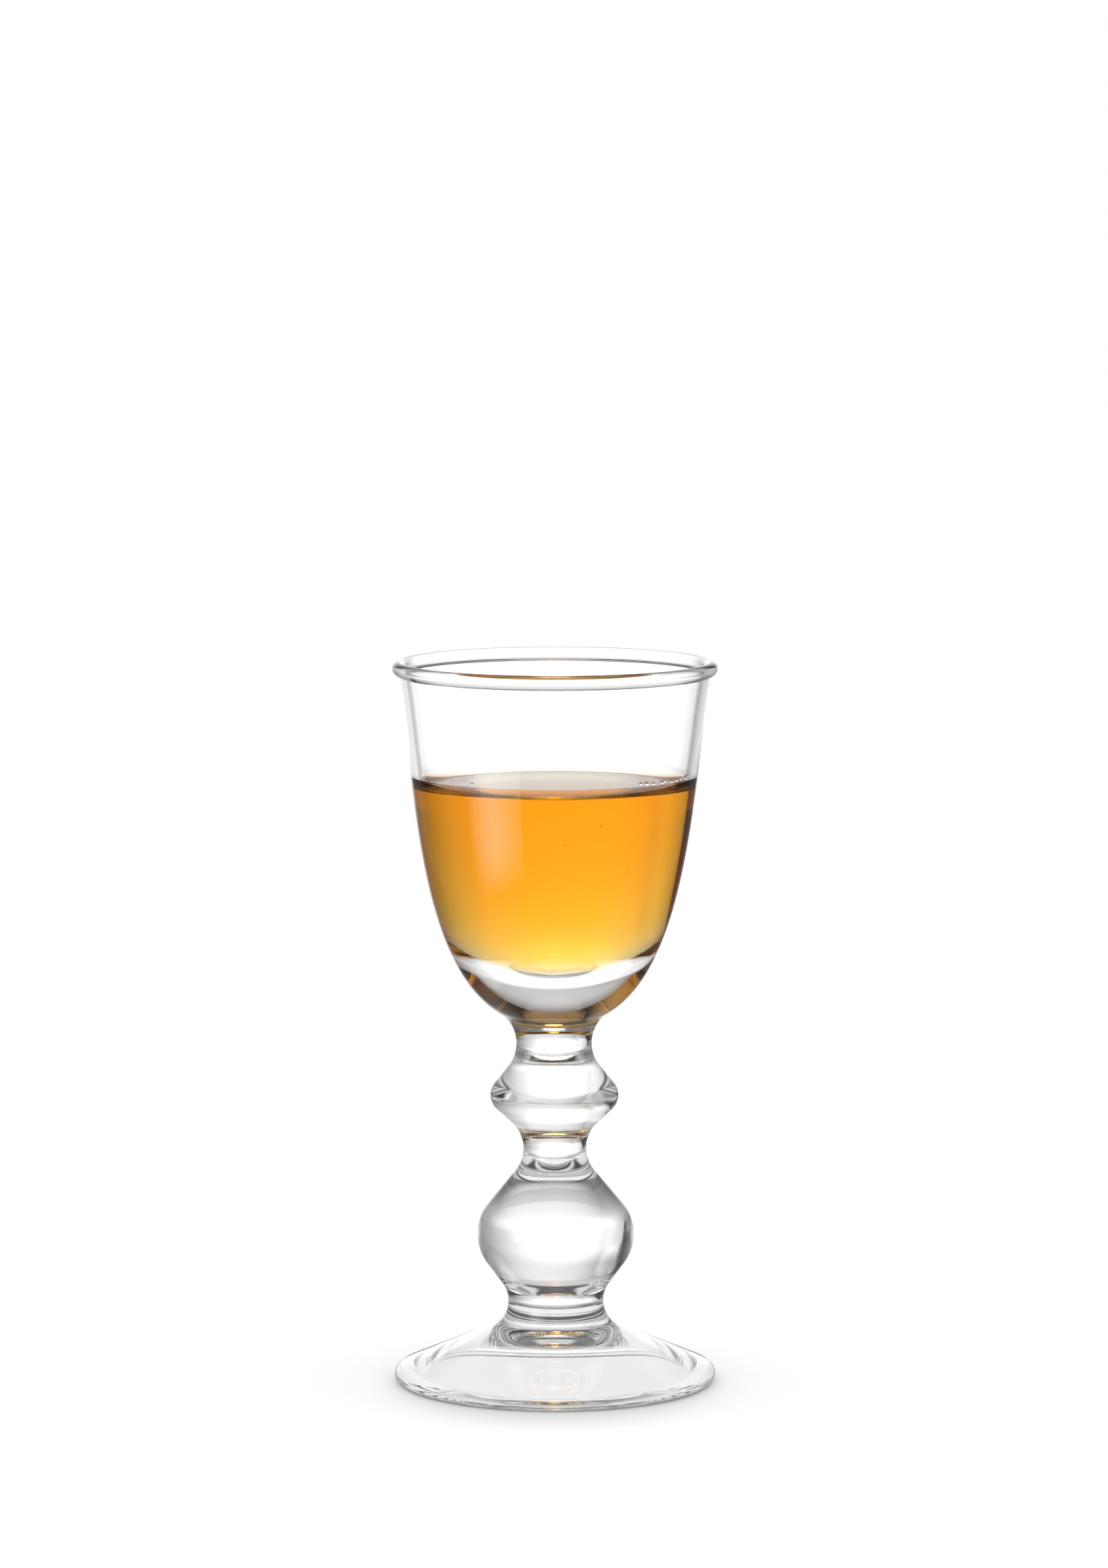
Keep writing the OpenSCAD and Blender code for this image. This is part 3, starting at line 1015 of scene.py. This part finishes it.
def white_sweep():
    """Matt white paper, plain to the eye but for a painted shadow round the foot. To rays that the glass
    bends or mirrors it glows with painted light and shade.
    """
    material, tree = new_material("matt_paper_sweep")
    place = add_node(tree, "ShaderNodeTexCoord").outputs["Object"]
    # Painted shadow: the paper's colour and glow are darker round the foot, and since the light comes from
    # behind, this painted shade lies a little to the front
    middle = {0: place, 1: (0.0, -14.0 * MM, 0.0)}
    off = add_node(tree, "ShaderNodeVectorMath", middle, operation="DISTANCE").outputs["Value"]
    painted_foot_shadow = times_steps(tree, 1.0, (off, 18.0 * MM, 38.0 * MM, 0.80, 1.0))
    white = add_node(tree, "ShaderNodeMath", {0: painted_foot_shadow, 1: 0.94}, operation="MULTIPLY")
    lift = add_node(tree, "ShaderNodeMath", {0: painted_foot_shadow, 1: 0.16}, operation="MULTIPLY")
    paper = add_node(tree, "ShaderNodeBsdfDiffuse", {"Color": white})
    lit = add_node(tree, "ShaderNodeEmission", {"Strength": lift})
    direct = add_node(tree, "ShaderNodeAddShader", {0: paper, 1: lit})

    depth = add_node(tree, "ShaderNodeSeparateXYZ", {0: place}).outputs["Y"]
    away = add_node(tree, "ShaderNodeVectorMath", {0: place}, operation="LENGTH").outputs["Value"]
    behind = round_about(tree, place, BACKDROP)
    # Painted light: close behind the foot the paper's glow brightens in steps, and falls off to the sides
    glow_steps = ((36.0, 50.0, 0.44), (54.0, 55.0, -0.14), (71.5, 72.5, 0.18), (73.0, 150.0, 0.42))
    along = plus_steps(tree, 0.0, *[(depth, start * MM, end * MM, rise) for start, end, rise in glow_steps])
    narrow = plus_steps(tree, 0.0, (round_about(tree, place, NARROW_BACKDROP), 0.87, 1.0, 1.0))
    wide = plus_steps(tree, 0.0, (behind, 0.62, 1.0, 1.0))
    widening = {"Factor": plus_steps(tree, 0.0, (away, 60.0 * MM, 130.0 * MM, 1.0)), "A": narrow, "B": wide}
    spread = add_node(tree, "ShaderNodeMix", widening, data_type="FLOAT")
    # Painted shade: close to the glass the paper's glow is dim, and it brightens outward
    painted_near_shade = times_steps(tree, 1.0, (away, 32.0 * MM, 90.0 * MM, 0.12, 0.50))
    close = add_node(tree, "ShaderNodeMath", {0: spread, 1: along, 2: painted_near_shade}, operation="MULTIPLY_ADD")
    # Painted shade: in front of the glass, from about 70 mm out to about 300 mm, most of the paper's glow is
    # taken away
    ahead = (behind, -0.6, -0.95, 0.0, 1.0)
    front_shade_ends = [(away, 60.0 * MM, 80.0 * MM, 0.0, 1.0), (away, 320.0 * MM, 260.0 * MM, 0.0, 1.0)]
    painted_front_shade = times_steps(tree, -0.85, ahead, *front_shade_ends)
    close = add_node(tree, "ShaderNodeMath", {0: close, 1: painted_front_shade, 2: close}, operation="MULTIPLY_ADD")
    # Painted light: behind the glass a brighter strip runs away over the far paper, and has faded at 2.5 m;
    # farther out the paper's glow is painted with the horizon's light
    glow = times_steps(tree, 0.20, (behind, 0.97, 1.0, 0.0, 1.0), (away, 2.5, 0.5, 0.0, 1.0))
    far = add_node(tree, "ShaderNodeMath", {0: horizon_light(tree, place), 1: glow}, operation="ADD")
    parting = {"Factor": plus_steps(tree, 0.0, (away, 110.0 * MM, 300.0 * MM, 1.0)), "A": close, "B": far}
    painted_paper_glow = add_node(tree, "ShaderNodeMix", parting, data_type="FLOAT")
    # Painted light: under the foot the paper's glow is bright, out to a dull ring of painted shade at the
    # foot's edge
    painted_paper_glow = plus_steps(tree, painted_paper_glow, (away, 31.5 * MM, 29.0 * MM, 0.83))
    path = add_node(tree, "ShaderNodeLightPath").outputs
    shades = [(behind, 0.99, 0.90, 0.0, 0.85), (away, 60.0 * MM, 150.0 * MM, 0.0, 1.0)]
    glow_painted_for_glass = add_node(tree, "ShaderNodeEmission", {"Strength": as_glass_shows(tree, painted_paper_glow, path, *shades)})
    # Rays that the glass bends or mirrors see the painted glow, and all others see the plain paper
    rays = {0: path["Is Transmission Ray"], 1: path["Is Glossy Ray"]}
    bent = add_node(tree, "ShaderNodeMath", rays, operation="MAXIMUM")
    both = add_node(tree, "ShaderNodeMixShader", {0: bent, 1: direct, 2: glow_painted_for_glass})
    add_node(tree, "ShaderNodeOutputMaterial", {"Surface": both})
    return material


def lit_card():
    """A lit white card, brightest near its middle, that fades toward its foot and its far side."""
    material, tree = new_material("lit_white_card")
    across = add_node(tree, "ShaderNodeAttribute", attribute_name="across").outputs["Fac"]
    place = add_node(tree, "ShaderNodeTexCoord").outputs["Object"]
    height = add_node(tree, "ShaderNodeSeparateXYZ", {0: place}).outputs["Z"]
    glow = times_steps(
        tree,
        1.0,
        (across, 0.0, 0.5, 1.2, 3.4),
        (across, 1.0, 0.45, 0.0, 1.0),
        (height, 0.0, 45.0 * MM, 0.0, 1.0),
    )
    lit = add_node(tree, "ShaderNodeEmission", {"Strength": glow})
    add_node(tree, "ShaderNodeOutputMaterial", {"Surface": lit})
    return material


def reflector_card():
    """A tall bent card at the front left that shows only as the soft upright gleam on the bowl."""
    mesh = bpy.data.meshes.new("reflector_card")
    points = []
    for i in range(CARD_STEPS + 1):
        angle = math.radians(CARD_START + (CARD_END - CARD_START) * i / CARD_STEPS)
        for height in (CARD_BOTTOM, CARD_TOP):
            points.append((-CARD_AWAY * math.sin(angle), -CARD_AWAY * math.cos(angle), height))
    mesh.from_pydata(points, [], [(2 * i, 2 * i + 1, 2 * i + 3, 2 * i + 2) for i in range(CARD_STEPS)])
    across = mesh.attributes.new("across", "FLOAT", "POINT")
    across.data.foreach_set("value", [i // 2 / CARD_STEPS for i in range(len(points))])
    mesh.materials.append(lit_card())
    card = bpy.data.objects.new("reflector_card", mesh)
    bpy.context.scene.collection.objects.link(card)
    card.visible_camera = card.visible_diffuse = card.visible_transmission = card.visible_shadow = False
    return card


class SHERRY_OT_stage(bpy.types.Operator):
    """Set up the floor, the soft studio light and the camera"""

    bl_idname = "sherry.stage"
    bl_label = "Studio"

    def execute(self, context):
        scene = context.scene
        floor = plane("paper_sweep", PAPER_SIZE)
        floor.data.materials.append(white_sweep())
        reflector_card()
        scene.world = studio_surroundings()

        camera = bpy.data.cameras.new("photo_camera")
        camera.lens = CAMERA_LENS
        camera.sensor_width = 36.0
        camera.clip_start, camera.clip_end = 0.01, 100.0
        eye = bpy.data.objects.new("photo_camera", camera)
        eye.location = CAMERA_PLACE
        eye.rotation_euler = (math.radians(90 - CAMERA_DIP), 0, 0)
        scene.collection.objects.link(eye)
        scene.camera = eye

        scene.view_settings.view_transform = "Standard"
        # Light passes many walls of glass before it has left the stem
        scene.cycles.max_bounces = 32
        scene.cycles.transmission_bounces = 32
        scene.cycles.glossy_bounces = 16
        scene.cycles.transparent_max_bounces = 48
        return {"FINISHED"}


class SHERRY_PT_panel(bpy.types.Panel):
    """Sizes and steps of the sherry glass"""

    bl_label = "Sherry Glass"
    bl_idname = "SHERRY_PT_panel"
    bl_space_type = "VIEW_3D"
    bl_region_type = "UI"
    bl_category = "Sherry Glass"

    def draw(self, context):
        for operator in OPERATORS:
            self.layout.operator(operator.bl_idname)


SIZES = (RimSizes, BowlSizes, StemSizes, FootSizes, DrinkSizes, GlassColours, HandSizes, SherryGlass)
OPERATORS = (
    SHERRY_OT_lip_bead,
    SHERRY_OT_bowl,
    SHERRY_OT_stem,
    SHERRY_OT_foot,
    SHERRY_OT_drink,
    SHERRY_OT_specks,
    SHERRY_OT_stage,
)


def register():
    for kind in (*SIZES, *OPERATORS, SHERRY_PT_panel):
        bpy.utils.register_class(kind)
    bpy.types.Scene.sherry_glass = PointerProperty(type=SherryGlass)


def unregister():
    del bpy.types.Scene.sherry_glass
    for kind in reversed((*SIZES, *OPERATORS, SHERRY_PT_panel)):
        bpy.utils.unregister_class(kind)


def main():
    """Builds the glass and the studio."""
    register()
    bpy.ops.sherry.lip_bead()
    bpy.ops.sherry.bowl()
    bpy.ops.sherry.stem()
    bpy.ops.sherry.foot()
    bpy.ops.sherry.drink()
    bpy.ops.sherry.specks()
    bpy.ops.sherry.stage()


if __name__ == "__main__":
    main()
